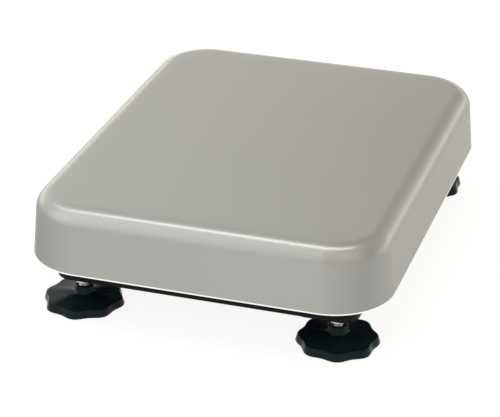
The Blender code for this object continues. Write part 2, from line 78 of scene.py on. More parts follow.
# ---------------- node materials
class Shader:
    """A Principled material and short calls that add nodes to it."""

    def __init__(self, name, **sockets):
        self.mat = bpy.data.materials.new(name)
        self.mat.use_nodes = True
        self.tree = self.mat.node_tree
        self.bsdf = self.tree.nodes["Principled BSDF"]
        for socket, value in sockets.items():
            self.bsdf.inputs[socket.replace("_", " ")].default_value = value

    def node(self, kind, **settings):
        made = self.tree.nodes.new("ShaderNode" + kind)
        for key, value in settings.items():
            if key in made.inputs:
                made.inputs[key].default_value = value
            else:
                setattr(made, key, value)
        return made

    def link(self, output, target):
        self.tree.links.new(output, target)

    def coords(self, stretch=(1, 1, 1), turn=(0, 0, 0)):
        """Object coordinates in metres, stretched along each axis."""
        source = self.node("TexCoord").outputs["Object"]
        mapping = self.node("Mapping")
        mapping.inputs["Scale"].default_value = stretch
        mapping.inputs["Rotation"].default_value = turn
        self.link(source, mapping.inputs["Vector"])
        return mapping.outputs["Vector"]

    def noise(self, scale, detail=3.0, stretch=(1, 1, 1), rough=0.5, turn=(0, 0, 0)):
        made = self.node("TexNoise", Scale=scale, Detail=detail, Roughness=rough)
        self.link(self.coords(stretch, turn), made.inputs["Vector"])
        return made.outputs["Fac"]

    def spread(self, value, low, high, start=0.3, end=0.7):
        """Map a noise value to the range low to high."""
        made = self.node("MapRange")
        made.inputs["From Min"].default_value = start
        made.inputs["From Max"].default_value = end
        made.inputs["To Min"].default_value = low
        made.inputs["To Max"].default_value = high
        self.link(value, made.inputs["Value"])
        return made.outputs["Result"]

    def math(self, operation, a, b):
        made = self.node("Math", operation=operation)
        for k, value in enumerate((a, b)):
            if isinstance(value, (int, float)):
                made.inputs[k].default_value = value
            else:
                self.link(value, made.inputs[k])
        return made.outputs["Value"]

    def mix(self, factor, first, second):
        made = self.node("Mix", data_type="RGBA")
        self.link(factor, made.inputs[0])
        for index, value in ((6, first), (7, second)):
            if hasattr(value, "links"):
                self.link(value, made.inputs[index])
            else:
                made.inputs[index].default_value = (*value, 1.0)
        return made.outputs[2]

    def bump(self, height, distance, strength):
        made = self.node("Bump")
        made.inputs["Distance"].default_value = distance
        made.inputs["Strength"].default_value = strength
        self.link(height, made.inputs["Height"])
        self.link(made.outputs["Normal"], self.bsdf.inputs["Normal"])

    def colour(self, value):
        self.link(value, self.bsdf.inputs["Base Color"])

    def roughness(self, value):
        self.link(value, self.bsdf.inputs["Roughness"])


def stainless_pan():
    """Satin stainless: fine grain along X, faint clouding, light scuffs, rougher corners darkened
    with painted shade.
    """
    s = Shader("satin_stainless", Metallic=1.0)
    s.bsdf.inputs["Specular Tint"].default_value = (0.80, 0.79, 0.74, 1.0)
    grain = s.noise(1.0, 4.0, (6, 2600, 2600), 0.6)
    cloud = s.noise(11.0, 4.0)
    broad = s.noise(3.2, 2.0)
    tone = s.mix(s.spread(broad, 0.0, 1.0), (0.365, 0.365, 0.349), (0.384, 0.383, 0.366))
    tone = s.mix(s.spread(grain, 0.0, 0.14), tone, (0.410, 0.408, 0.392))
    scuff = s.noise(26.0, 5.0, (1, 3.5, 3.5), 0.72, (0, 0, 0.6))
    marks = s.spread(scuff, 0.0, 1.0, 0.66, 0.76)
    tone = s.mix(s.math("MULTIPLY", marks, 0.18), tone, (0.325, 0.322, 0.308))
    cells = s.node("TexVoronoi", Scale=24.0)
    s.link(s.coords(), cells.inputs["Vector"])
    speck = s.spread(cells.outputs["Distance"], 1.0, 0.0, 0.010, 0.024)
    tone = s.mix(s.math("MULTIPLY", speck, 0.30), tone, (0.70, 0.70, 0.68))
    place = s.node("SeparateXYZ")
    s.link(s.node("TexCoord").outputs["Object"], place.inputs["Vector"])
    # Painted shade: below the top, the skirt's corners are darkened towards (0.288, 0.287, 0.270)
    # and made a little rougher.
    corner_shade_x = s.spread(s.math("ABSOLUTE", place.outputs["X"], 0), 0.0, 1.0, 0.100, 0.136)
    corner_shade_y = s.spread(s.math("ABSOLUTE", place.outputs["Y"], 0), 0.0, 1.0, 0.140, 0.176)
    side = s.spread(place.outputs["Z"], 1.0, 0.0, 0.088, 0.099)
    corner_shade_and_dulling = s.math("MULTIPLY", s.math("MULTIPLY", corner_shade_x, corner_shade_y), side)
    s.colour(s.mix(s.math("MULTIPLY", corner_shade_and_dulling, 0.9), tone, (0.288, 0.287, 0.270)))
    rough = s.math("ADD", s.spread(cloud, 0.265, 0.310), s.spread(grain, -0.02, 0.025))
    rough = s.math("ADD", rough, s.math("MULTIPLY", marks, 0.05))
    s.roughness(s.math("ADD", rough, s.math("MULTIPLY", corner_shade_and_dulling, 0.10)))
    s.bump(grain, 0.00001, 0.14)
    return s.mat


def plain_material(name, colours, patch, rough, fine=None, ripple=None, bump=None, metallic=0.0,
                   **sockets):
    """A surface clouded between two colours and two roughnesses by one noise.

    patch and fine are the settings of the clouding noise and of a
    finer one, which ripples the roughness and raises the surface by bump (height, strength).
    """
    s = Shader(name, Metallic=metallic, **sockets)
    cloud = s.noise(**patch)
    grain = s.noise(**fine) if fine else cloud
    s.colour(s.mix(s.spread(cloud, 0.0, 1.0), *colours))
    value = s.spread(cloud, *rough)
    s.roughness(s.math("ADD", value, s.spread(grain, *ripple)) if ripple else value)
    if bump:
        s.bump(grain, *bump)
    return s.mat


def powder_coat():
    """Black powder coat: orange-peel surface with a fine leather-like grain."""
    s = Shader("black_powder_coat", Metallic=0.0, Specular_IOR_Level=0.10)
    peel = s.noise(900.0, 3.0, rough=0.6)
    patch = s.noise(18.0, 3.0)
    dust = s.noise(70.0, 6.0, rough=0.7)
    base = s.mix(s.spread(patch, 0.0, 1.0), (0.0026, 0.0027, 0.0030), (0.0048, 0.0050, 0.0054))
    s.colour(s.mix(s.spread(dust, 0.0, 0.10, 0.58, 0.8), base, (0.040, 0.039, 0.038)))
    s.roughness(s.math("ADD", s.spread(peel, 0.40, 0.54), s.spread(patch, -0.04, 0.05)))
    s.bump(peel, 0.00012, 0.35)
    return s.mat


def anodised():
    """Clear anodised aluminium with saw and mill grain along the bar."""
    s = Shader("aluminium", Metallic=1.0)
    grain = s.noise(1.0, 4.0, (1600, 16, 1600), 0.65)
    patch = s.noise(40.0, 3.0)
    s.colour(s.mix(s.spread(grain, 0.0, 1.0), (0.62, 0.625, 0.64), (0.76, 0.76, 0.765)))
    s.roughness(s.math("ADD", s.spread(patch, 0.28, 0.36), s.spread(grain, -0.05, 0.05)))
    s.bump(grain, 0.00002, 0.35)
    return s.mat


def cable_jacket():
    """Grey PVC jacket with the fine lengthwise drawing marks of its extrusion."""
    s = Shader("cable_jacket", Metallic=0.0)
    fine = s.noise(700.0, 3.0)
    patch = s.noise(50.0, 3.0)
    s.colour(s.mix(s.spread(patch, 0.0, 1.0), (0.075, 0.076, 0.08), (0.11, 0.11, 0.115)))
    s.roughness(s.spread(fine, 0.45, 0.60))
    s.bump(fine, 0.00006, 0.3)
    return s.mat


MATS = {
    "satin_stainless": stainless_pan(),
    "black_powder_coat": powder_coat(),
    # Painted highlight: the hem is coloured far brighter than the rest of the sheet, with faint
    # draw lines along it
    "hem_painted_highlight": plain_material(
        "hem_painted_highlight", ((0.93, 0.93, 0.92), (0.99, 0.99, 0.985)),
        dict(scale=35.0), (0.16, 0.24),
        dict(scale=1.0, stretch=(60, 60, 2400), rough=0.6), (-0.03, 0.03),
        (0.00001, 0.2), 1.0),
    # The same sheet inside: unpolished mill finish, duller and more clouded
    "mill_stainless": plain_material(
        "mill_stainless", ((0.36, 0.355, 0.34), (0.47, 0.465, 0.45)),
        dict(scale=14.0, detail=5.0, rough=0.62), (0.30, 0.42),
        dict(scale=1.0, stretch=(9, 500, 500), rough=0.6), (-0.03, 0.03),
        (0.00002, 0.3), 1.0),
    # Glass-filled nylon: faint moulding texture and a blue-green sheen
    "black_nylon": plain_material(
        "black_nylon", ((0.0024, 0.0085, 0.0098), (0.0048, 0.0145, 0.0165)),
        dict(scale=30.0, detail=4.0, stretch=(1, 1, 2.5), rough=0.6), (0.17, 0.25),
        dict(scale=1500.0, detail=2.0), (-0.03, 0.04), (0.00003, 0.3),
        Specular_IOR_Level=0.10),
    # Bright zinc plate over steel, slightly uneven and yellowed
    "zinc_steel": plain_material(
        "zinc_steel", ((0.66, 0.66, 0.65), (0.78, 0.77, 0.73)),
        dict(scale=160.0, detail=4.0, rough=0.6), (0.20, 0.32),
        dict(scale=1400.0), (-0.03, 0.04), (0.00003, 0.3), 1.0),
    "aluminium": anodised(),
    # Dull rubber with a chalky bloom
    "grey_rubber": plain_material(
        "grey_rubber", ((0.028, 0.0285, 0.029), (0.055, 0.054, 0.052)),
        dict(scale=120.0, detail=6.0, rough=0.7), (0.72, 0.90),
        dict(scale=2200.0, detail=2.0), None, (0.00006, 0.45)),
    # White silicone over the strain gauges, with soft lumps from the nozzle
    "potting": plain_material(
        "white_silicone", ((0.60, 0.60, 0.58), (0.72, 0.72, 0.70)),
        dict(scale=240.0), (0.38, 0.55), bump=(0.0003, 0.5)),
    "cable_jacket": cable_jacket(),
    # Tinted spirit under the glass of the level
    "level_liquid": plain_material(
        "level_liquid", ((0.42, 0.70, 0.07), (0.52, 0.80, 0.13)),
        dict(scale=90.0, detail=2.0), (0.04, 0.08), Transmission_Weight=0.35, IOR=1.45),
    # The bubble: a clear lens that shows paler than the spirit round it
    "bubble": plain_material(
        "level_bubble", ((0.80, 0.90, 0.55), (0.88, 0.95, 0.66)),
        dict(scale=400.0, detail=1.0), (0.02, 0.05), Transmission_Weight=0.5, IOR=1.2),
}


# ---------------- mesh tools
M8_BORE = 0.0043            # clearance holes
M6_BORE = 0.0033
GLAND_BORE = 0.0064
CUT_PAST = 0.01             # how far a cutter reaches past the surface
JOINT_GAP = 0.0003          # left between neighbours in the model


def add_object(name, data):
    made = bpy.data.objects.new(name, data)
    bpy.context.scene.collection.objects.link(made)
    return made


def mesh_from(name, bm):
    mesh = bpy.data.meshes.new(name)
    bm.to_mesh(mesh)
    bm.free()
    return mesh


def finish_mesh(name, bm, slot, body, replaces=(), angle=35, mats=None):
    """Make the piece, give it a material, and hang it on its body.

    Without a body it is left unattached; without a slot it takes only the materials given in mats.
    """
    bmesh.ops.recalc_face_normals(bm, faces=bm.faces)
    mesh = mesh_from(name, bm)
    for mat in mats or (MATS[slot],):
        mesh.materials.append(mat)
    mesh.shade_smooth()
    mesh.set_sharp_from_angle(angle=radians(angle))
    made = add_object(name, mesh)
    if body:
        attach(made, body)
    if replaces:
        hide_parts(*replaces)
    return made


def join_rings(bm, rings, closed=False, caps=True):
    """Skin equal rings of vertices, one after the other; returns the new faces, ring by ring."""
    made = []
    pairs = list(zip(rings, rings[1:]))
    if closed:
        pairs.append((rings[-1], rings[0]))
    for lower, upper in pairs:
        count = len(lower)
        strip = []
        for i in range(count):
            j = (i + 1) % count
            strip.append(bm.faces.new((lower[i], lower[j], upper[j], upper[i])))
        made.append(strip)
    if caps and not closed:
        bm.faces.new(list(reversed(rings[0])))
        bm.faces.new(rings[-1])
    return made


def arc(centre, radius, start, end, steps):
    """Points (x, z) along an arc, angles in degrees from the x axis."""
    points = []
    for k in range(steps + 1):
        angle = radians(start + (end - start) * k / steps)
        points.append((centre[0] + radius * cos(angle), centre[1] + radius * sin(angle)))
    return points


def turn(bm, profile, steps, closed=False, place=None, caps=True):
    """Turn a profile of (radius, height) about Z; a radius is a number or a function of angle."""
    place = place or Matrix.Identity(4)
    rings = []
    for radius, height in profile:
        ring = []
        for k in range(steps):
            angle = 2 * pi * k / steps
            r = radius(angle) if callable(radius) else radius
            ring.append(bm.verts.new(place @ Vector((r * cos(angle), r * sin(angle), height))))
        rings.append(ring)
    return join_rings(bm, rings, closed, caps)


def rounded_ring(bm, half_x, half_y, radius, height, steps):
    """Vertices round a rectangle with round corners, anticlockwise."""
    ring = []
    for quarter, (sx, sy) in enumerate(((1, 1), (-1, 1), (-1, -1), (1, -1))):
        for k in range(steps + 1):
            angle = pi / 2 * (quarter + k / steps)
            x = sx * (half_x - radius) + radius * cos(angle)
            y = sy * (half_y - radius) + radius * sin(angle)
            ring.append(bm.verts.new((x, y, height)))
    return ring


def middle(node):
    low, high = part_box(node)
    return (low + high) / 2


def radius_of(node):
    """Radius of a round node whose axis is upright."""
    low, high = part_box(node)
    return (high.x - low.x) / 2


def hexagon(across_flats, blunt=1.0):
    """Radius of a hexagon by angle, a corner at angle 0; blunt below 1 rounds the corners off."""
    def radius(angle):
        sharp = across_flats / 2 / cos((angle % (pi / 3)) - pi / 6)
        return min(sharp, blunt * across_flats / 2 / cos(pi / 6))
    return radius


def as_function(radius):
    return radius if callable(radius) else lambda angle: radius


def blended(first, second, share):
    first, second = as_function(first), as_function(second)
    return lambda angle: (1 - share) * first(angle) + share * second(angle)


def offset(radius, change):
    radius = as_function(radius)
    return lambda angle: radius(angle) + change


def pointing(axis):
    """Rotation that takes +Z to the given axis."""
    return Vector((0, 0, 1)).rotation_difference(Vector(axis)).to_matrix().to_4x4()


def standing_on(node):
    """Matrix that puts local Z on a node's upright axis, with heights as they are in the model."""
    centre = middle(node)
    return Matrix.Translation((centre.x, centre.y, 0))


def lathe(name, profile, steps, slot, body, place, replaces=(), closed=False, **rest):
    bm = bmesh.new()
    turn(bm, profile, steps, closed, place)
    return finish_mesh(name, bm, slot, body, replaces, **rest)


def carve(obj, cutters):
    """Cut closed bmeshes out of a piece and keep the result as its mesh."""
    helpers = []
    for bm in cutters:
        bmesh.ops.recalc_face_normals(bm, faces=bm.faces)
        helper = add_object("cutter", mesh_from("cutter", bm))
        cut = obj.modifiers.new("cut", "BOOLEAN")
        cut.operation = "DIFFERENCE"
        cut.solver = "EXACT"
        cut.object = helper
        helpers.append(helper)
    bpy.context.view_layer.update()
    evaluated = obj.evaluated_get(bpy.context.evaluated_depsgraph_get())
    shaped = bpy.data.meshes.new_from_object(evaluated)
    obj.modifiers.clear()
    obj.data = shaped
    for helper in helpers:
        bpy.data.objects.remove(helper)


def rod(radius, low, high, place, steps=40):
    bm = bmesh.new()
    turn(bm, [(radius, low), (radius, high)], steps, place=place)
    return bm


def bore_for_screws(obj, low, high, screws):
    """Drill the clearance holes of a left and a right cell screw, right through."""
    carve(obj, [rod(M8_BORE, low - CUT_PAST, high + CUT_PAST, standing_on(screws + side))
                for side in ("left", "right")])


def box_mesh(low, high, edge=0.0, segments=3):
    """Box between two corners with its edges rounded."""
    bm = bmesh.new()
    rings = []
    for z in (low[2], high[2]):
        corners = ((low[0], low[1]), (high[0], low[1]), (high[0], high[1]), (low[0], high[1]))
        rings.append([bm.verts.new((x, y, z)) for x, y in corners])
    join_rings(bm, rings)
    if edge:
        bmesh.ops.bevel(bm, geom=bm.edges[:], offset=edge, segments=segments, profile=0.5,
                        affect="EDGES")
    return bm


def add_thread(bm, radius, pitch, low, high, place, lead_in=0.0008, steps=24):
    """Right-handed thread between two heights, fading out at its ends, closed by flat caps."""
    depth = 0.58 * pitch
    shape = ((0.0, depth), (0.40, 0.0), (0.52, 0.0), (0.92, depth))
    rows = int((high - low) / pitch * steps) + 2 * steps

    def vertex(i, part, sunk):
        angle = 2 * pi * i / steps
        height = low + pitch * ((i - steps) / steps + part)
        fade = min(1.0, max(0.0, min(height - low, high - height) / lead_in))
        r = radius - depth + (depth - sunk) * fade
        height = min(max(height, low), high)
        return bm.verts.new(place @ Vector((r * cos(angle), r * sin(angle), height)))

    strips = [[vertex(i, part, sunk) for i in range(rows)] for part, sunk in shape]
    faces = []
    for lower, upper in zip(strips, strips[1:]):
        for i in range(rows - 1):
            faces.append(bm.faces.new((lower[i], lower[i + 1], upper[i + 1], upper[i])))
    last, first = strips[-1], strips[0]
    for i in range(rows - 1 - steps):
        faces.append(bm.faces.new((last[i], last[i + 1], first[i + 1 + steps], first[i + steps])))
    verts = [v for strip in strips for v in strip]
    bmesh.ops.remove_doubles(bm, verts=verts, dist=1e-6)
    open_edges = [e for e in bm.edges if len(e.link_faces) == 1]
    bmesh.ops.holes_fill(bm, edges=open_edges, sides=0)


def threaded(name, radius, pitch, slot, body, node):
    """Threaded stud in the place of a plain CAD rod."""
    low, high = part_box(node)
    bm = bmesh.new()
    add_thread(bm, radius, pitch, low.z, high.z, standing_on(node))
    return finish_mesh(name, bm, slot, body, [node], 50)


def nut_profile(low, high, across_flats, bore):
    """Hexagon nut with both faces chamfered and the bore countersunk."""
    flats = hexagon(across_flats)
    face = across_flats / 2 * 0.96
    corner = across_flats / 2 / cos(pi / 6)
    chamfer = (corner - face) * 0.62
    rows = [(bore, low + 0.0007), (bore + 0.0006, low), (face, low)]
    steps = [(face + (corner - face) * k / 4, chamfer * k / 4) for k in range(1, 5)]
    rows += [(lambda a, m=limit: min(m, flats(a)), low + rise) for limit, rise in steps]
    rows += [(lambda a, m=limit: min(m, flats(a)), high - rise) for limit, rise in reversed(steps)]
    rows += [(face, high), (bore + 0.0006, high), (bore, high - 0.0007)]
    return rows


def add_bead(bm, start, end, radius, seed=0.0):
    """Weld bead: a half-sunk cord from start to end, rippled where each drop froze."""
    start, end = Vector(start), Vector(end)
    along = end - start
    place = Matrix.Translation(start) @ pointing(along.normalized())
    count = max(8, int(along.length / 0.0004))
    profile = []
    for k in range(count + 1):
        s = k / count
        ripple = abs(sin(pi * (s * along.length / 0.0017 + seed)))
        wander = 0.06 * sin(37.0 * s + 9.0 * seed)
        close = min(1.0, 12.0 * min(s, 1 - s) + 0.25)
        profile.append((radius * close * (0.84 + 0.16 * ripple + wander), s * along.length))
    turn(bm, profile, 10, place=place)


# ---------------- pan
PAN_CORNER = 0.050
PAN_BEND = 0.0156
PAN_DRAFT = 0.0033
PAN_SHEET = 0.0015
HEM_RADIUS = 0.0009
HEM_HIGHLIGHT_REACH = 0.0006          # how far the painted highlight of the hem reaches up the skirt
CORNER_STEPS = 28
BEND_STEPS = 18
RIM_STRIPS = 14             # strips from the hem's inner edge to the top of that painted highlight band


def make_pan():
    """Pan pressed deep from one sheet, with a round bend and a hem rolled inwards along its rim.
    """
    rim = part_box("weighing_pan")[0].z
    spring = HIGH.z - PAN_BEND

    def wall(inset_at_rim, height):
        """Point of a skin's skirt at a height: it leans in evenly up to the bend."""
        return inset_at_rim + PAN_DRAFT * (height - rim) / (spring - rim), height

    highlight_top = rim + HEM_RADIUS + HEM_HIGHLIGHT_REACH
    outline = [(HEM_RADIUS + 0.0010, rim + 0.0016)]
    outline += arc((HEM_RADIUS, rim + HEM_RADIUS), HEM_RADIUS, 330, 180, 12)
    outline += [wall(0.0, highlight_top + (spring - highlight_top) * k / 9) for k in range(9)]
    outline += arc((PAN_DRAFT + PAN_BEND, spring), PAN_BEND, 180, 90, BEND_STEPS)
    inner_bend = PAN_BEND - PAN_SHEET
    inside = arc((PAN_DRAFT + PAN_BEND, spring), inner_bend, 90, 180, BEND_STEPS)
    inside += [wall(PAN_SHEET, rim + 0.004), (HEM_RADIUS + 0.0010, rim + 0.0024)]
    bm = bmesh.new()

    def rings_of(points):
        return [rounded_ring(bm, HIGH.x - inset, HIGH.y - inset, PAN_CORNER - inset, height,
                             CORNER_STEPS) for inset, height in points]

    outer_rings = rings_of(outline)
    inner_rings = rings_of(inside)
    rim_strips = join_rings(bm, outer_rings, caps=False)[:RIM_STRIPS]
    under = join_rings(bm, inner_rings, caps=False)
    lip = join_rings(bm, [inner_rings[-1], outer_rings[0]], caps=False)
    # These strips of the hem carry the painted highlight material.
    for strip in rim_strips:
        for face in strip:
            face.material_index = 2
    fill_plate(bm, outer_rings[-1], False)
    for strip in under + lip + [fill_plate(bm, inner_rings[0], True)]:
        for face in strip:
            face.material_index = 1
    mats = (MATS["satin_stainless"], MATS["mill_stainless"], MATS["hem_painted_highlight"])
    finish_mesh("pan_shell", bm, "satin_stainless", "pan", ["weighing_pan"], 60, mats)


def fill_plate(bm, ring, flip):
    """Close a round-cornered ring with a flat plate: one inset strip, then one large face."""
    centre = sum((v.co for v in ring), Vector()) / len(ring)
    inner = [bm.verts.new(centre + (vert.co - centre) * 0.9) for vert in ring]
    strip = join_rings(bm, [ring, inner], caps=False)[0]
    plate = bm.faces.new(list(reversed(inner)) if flip else inner)
    return strip + [plate]


# ---------------- screw feet
DISC_LOBES = 8
DISC_RADIUS = 0.0322        # over the lobes, at the top of the rim
DISC_FLARE = 0.0014
DISC_VALLEY = 0.0027
DISC_RIM = 0.0078
DISC_CROWN = 0.0104
HUB_ACROSS_FLATS = 0.0148
HUB_BLUNT = 0.96
SOLE_GAP = 0.0003
GRIPS = 5                   # raised rings in the tread of each sole
GRIP_DEPTH = 0.0009
FOOT_PITCH = 0.00125
STOP_PITCH = 0.001
NUT_ACROSS_FLATS = 0.013
STOP_NUT_ACROSS_FLATS = 0.010


def scallops(outer):
    """Radius of the rim of the disc: broad lobes, one at angle 0, with rounded valleys between."""
    return lambda angle: outer - DISC_VALLEY * (0.5 - 0.5 * cos(DISC_LOBES * angle))


def make_disc(name):
    node = "foot_disc_" + name
    low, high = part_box(node)
    bore = radius_of("foot_stud_" + name) + SOLE_GAP
    recess = radius_of("foot_sole_" + name) + SOLE_GAP
    floor = low.z
    rim = scallops(DISC_RADIUS)
    rows = [
        (recess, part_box("foot_sole_" + name)[1].z + SOLE_GAP), (recess, floor + 0.0005),
        (recess + 0.0004, floor), (offset(rim, DISC_FLARE - 0.0007), floor),
        (offset(rim, DISC_FLARE - 0.0002), floor + 0.0002),
        (offset(rim, DISC_FLARE), floor + 0.0007),
        (offset(rim, DISC_FLARE * 0.5), (floor + DISC_RIM) / 2),
    ]
    fillet = 0.0011
    for k in range(6):
        angle = radians(8 + 70 * k / 5)
        rows.append((offset(rim, fillet * (cos(angle) - 1)), DISC_RIM - fillet * (1 - sin(angle))))
    crown_start = offset(rim, -0.0014)
    corner_first = hexagon(HUB_ACROSS_FLATS, HUB_BLUNT)

    def hub(angle):
        """Radius of the hub, a flat at angle 0."""
        return corner_first(angle + pi / 6)

    hub_foot = blended(offset(hub, 0.0013), HUB_ACROSS_FLATS / 2 + 0.0016, 0.5)
    for k in range(11):
        share = k / 10
        height = DISC_RIM + (DISC_CROWN - DISC_RIM) * (0.75 * share + 0.25 * share ** 3)
        rows.append((blended(crown_start, hub_foot, share), height))
    top = high.z
    rows += [
        (offset(hub, 0.0005), DISC_CROWN + 0.0003), (offset(hub, 0.0001), DISC_CROWN + 0.0009),
        (hub, top - 0.0013), (offset(hub, -0.0003), top - 0.0006),
        (offset(hub, -0.0008), top - 0.0002), (offset(hub, -0.0015), top), (bore + 0.0010, top),
        (bore, top - 0.0008), (bore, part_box("foot_stud_" + name)[0].z - SOLE_GAP),
    ]
    place = standing_on("foot_stud_" + name) @ Matrix.Rotation(radians(DISC_TURN[name]), 4, "Z")
    lathe("levelling_disc_" + name, rows, 240, "black_nylon", "foot_" + name, place, [node],
          angle=38)


def make_sole(name):
    """Rubber sole with concentric grips moulded into its tread."""
    node = "foot_sole_" + name
    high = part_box(node)[1]
    outer = radius_of(node)
    rows = []
    for k in range(GRIPS):
        inside = 0.004 + (outer - 0.006) * k / GRIPS
        outside = inside + (outer - 0.006) / GRIPS * 0.62
        rows += [(inside - 0.0004, GRIP_DEPTH), (inside, 0.0), (outside, 0.0),
                 (outside + 0.0004, GRIP_DEPTH)]
    rows += [
        (outer - 0.0014, GRIP_DEPTH), (outer - 0.0010, 0.0001), (outer - 0.0003, 0.0004),
        (outer, 0.0010), (outer, high.z - 0.0003), (outer - 0.0003, high.z),
    ]
    lathe("sole_" + name, rows, 96, "grey_rubber", node, standing_on(node), [node], angle=30)


def make_foot_hardware(name):
    threaded("levelling_stud_" + name, 0.004, FOOT_PITCH, "zinc_steel", "foot_" + name,
             "foot_stud_" + name)

    node = "lock_nut_" + name
    low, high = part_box(node)
    rows = nut_profile(low.z, high.z, NUT_ACROSS_FLATS, M8_BORE)
    lathe("locking_nut_" + name, rows, 96, "zinc_steel", "base", standing_on(node), [node], True)

    node = "foot_boss_" + name
    low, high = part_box(node)
    flange = radius_of(node)
    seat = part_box("corner_" + name)[1].z
    rows = [
        (0.0046, low.z + 0.0004), (0.0050, low.z), (0.0064, low.z), (0.0070, low.z + 0.0006),
        (0.0070, seat + 0.0003), (flange, seat + 0.0003), (flange, high.z - 0.0008),
        (flange - 0.0008, high.z), (0.0052, high.z), (0.0046, high.z - 0.0006),
    ]
    place = standing_on(node)
    lathe("threaded_boss_" + name, rows, 64, "black_powder_coat", "base", place, [node], True)


def make_stop(name):
    threaded("overload_stud_" + name, 0.003, STOP_PITCH, "zinc_steel", "base", "stop_stud_" + name)
    node = "stop_nut_" + name
    low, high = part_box(node)
    rows = nut_profile(low.z, high.z, STOP_NUT_ACROSS_FLATS, M6_BORE)
    lathe("overload_nut_" + name, rows, 96, "zinc_steel", "base", standing_on(node), [node], True)


# ---------------- base frame
# The corners of a section, anticlockwise: their two signs and the angle where their arc starts
QUARTERS = ((1, 1, 0), (-1, 1, 90), (-1, -1, 180), (1, -1, 270))
CASTING_CORNER = 0.014
BOSS_BORE = 0.0073
TUBE_CORNER = 0.0022
TUBE_WALL = 0.002
BEAD = 0.0011
BEAD_SHIFT = 0.37           # shifts the ripples, so that no two beads look alike
GROUND_FLUSH = 0.002        # no bead this near to the outer faces


def make_corner(name, sx, sy):
    """Cast corner: rounded outside, softened inside, bored for the boss and for the stop."""
    node = "corner_" + name
    low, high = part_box(node)
    centre = (low + high) / 2
    half_x = (high.x - low.x) / 2
    half_y = (high.y - low.y) / 2
    outline = []
    for (cx, cy, first), radius, steps in zip(
            QUARTERS, (CASTING_CORNER, 0.0012, 0.005, 0.0012), (24, 5, 5, 5)):
        spot = (cx * (half_x - radius), cy * (half_y - radius))
        outline += arc(spot, radius, first, first + 90, steps)
    bm = bmesh.new()
    rings = []
    edge = 0.0014
    angles = [radians(a) for a in (0, 22, 45, 68, 90)]
    rise = [(edge * (1 - sin(a)), edge * (1 - cos(a))) for a in angles]
    levels = [(drop, low.z + up) for drop, up in rise]
    levels += [(drop, high.z - up) for drop, up in reversed(rise)]
    for drop, z in levels:
        grow_x = 1 - drop / half_x
        grow_y = 1 - drop / half_y
        rings.append([bm.verts.new((centre.x + sx * x * grow_x, centre.y + sy * y * grow_y, z))
                      for x, y in outline])
    join_rings(bm, rings)
    made = finish_mesh("corner_casting_" + name, bm, "black_powder_coat", "base", [node], 40)
    boss = standing_on("foot_boss_" + name)
    stop = standing_on("stop_stud_" + name)
    carve(made, [rod(BOSS_BORE, 0.0, HIGH.z, boss, 64), rod(M6_BORE, 0.039, HIGH.z, stop)])


def tube(bm, half_length, width, height, place):
    """Rectangular tube along Y with rounded corners, open at both ends."""
    rings = []
    for y, inset in ((-half_length, 0), (half_length, 0),
                     (half_length, TUBE_WALL), (-half_length, TUBE_WALL)):
        radius = max(TUBE_CORNER - inset, 0.0006)
        ring = []
        for cx, cz, first in QUARTERS:
            spot = (cx * (width / 2 - inset - radius), cz * (height / 2 - inset - radius))
            for x, z in arc(spot, radius, first, first + 90, 6):
                ring.append(bm.verts.new(place @ Vector((x, y, z))))
        rings.append(ring)
    join_rings(bm, rings, closed=True)


def make_rails():
    for word in ("left", "right", "front", "rear"):
        node = "base_rail_" + word
        low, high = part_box(node)
        size = high - low
        along_x = word in ("front", "rear")
        place = Matrix.Translation((low + high) / 2)
        if along_x:
            place = place @ Matrix.Rotation(pi / 2, 4, "Z")
        bm = bmesh.new()
        length, width = (size.x, size.y) if along_x else (size.y, size.x)
        tube(bm, length / 2, width, size.z, place)
        made = finish_mesh("frame_rail_" + word, bm, "black_powder_coat", "base", [node], 40)
        if word == "rear":
            gland = middle("gland_body")
            bore = Matrix.Translation((gland.x, high.y - 0.03, gland.z)) @ pointing((0, 1, 0))
            carve(made, [rod(GLAND_BORE, 0.0, 0.05, bore)])


def make_frame_welds():
    """Beads over, under and behind each joint of the frame; the outer faces are ground flush."""
    bm = bmesh.new()
    seed = 0.13
    for word in ("left", "right", "front", "rear"):
        low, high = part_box("base_rail_" + word)
        along_x = word in ("front", "rear")
        k, across = (0, 1) if along_x else (1, 0)
        inner_low = high[across] < 0
        inside = high[across] if inner_low else low[across]
        outside = low[across] + GROUND_FLUSH if inner_low else high[across] - GROUND_FLUSH

        def at(along, aside, z):
            return (along, aside, z) if along_x else (aside, along, z)

        for end in (low[k], high[k]):
            for start, stop in (
                (at(end, outside, low.z), at(end, inside, low.z)),
                (at(end, outside, high.z), at(end, inside, high.z)),
                (at(end, inside, low.z), at(end, inside, high.z)),
            ):
                add_bead(bm, start, stop, BEAD, seed)
                seed += BEAD_SHIFT
    low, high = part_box("load_cell_beam")
    for y in (low.y, high.y):
        add_bead(bm, (low.x + 0.001, y, high.z), (high.x - 0.001, y, high.z), BEAD, seed)
        add_bead(bm, (low.x + 0.001, y, low.z), (high.x - 0.001, y, low.z), BEAD, seed + 0.2)
        seed += BEAD_SHIFT
    finish_mesh("frame_welds", bm, "black_powder_coat", "base", (), 60)


def make_beam():
    node = "load_cell_beam"
    low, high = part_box(node)
    bm = box_mesh(low, high, 0.0009)
    made = finish_mesh("cell_beam", bm, "black_powder_coat", "base", [node], 30)
    bore_for_screws(made, low.z, high.z, "lower_cell_screw_")


# ---------------- platform
STITCH = 0.022              # length of each weld between the sheet and a bar


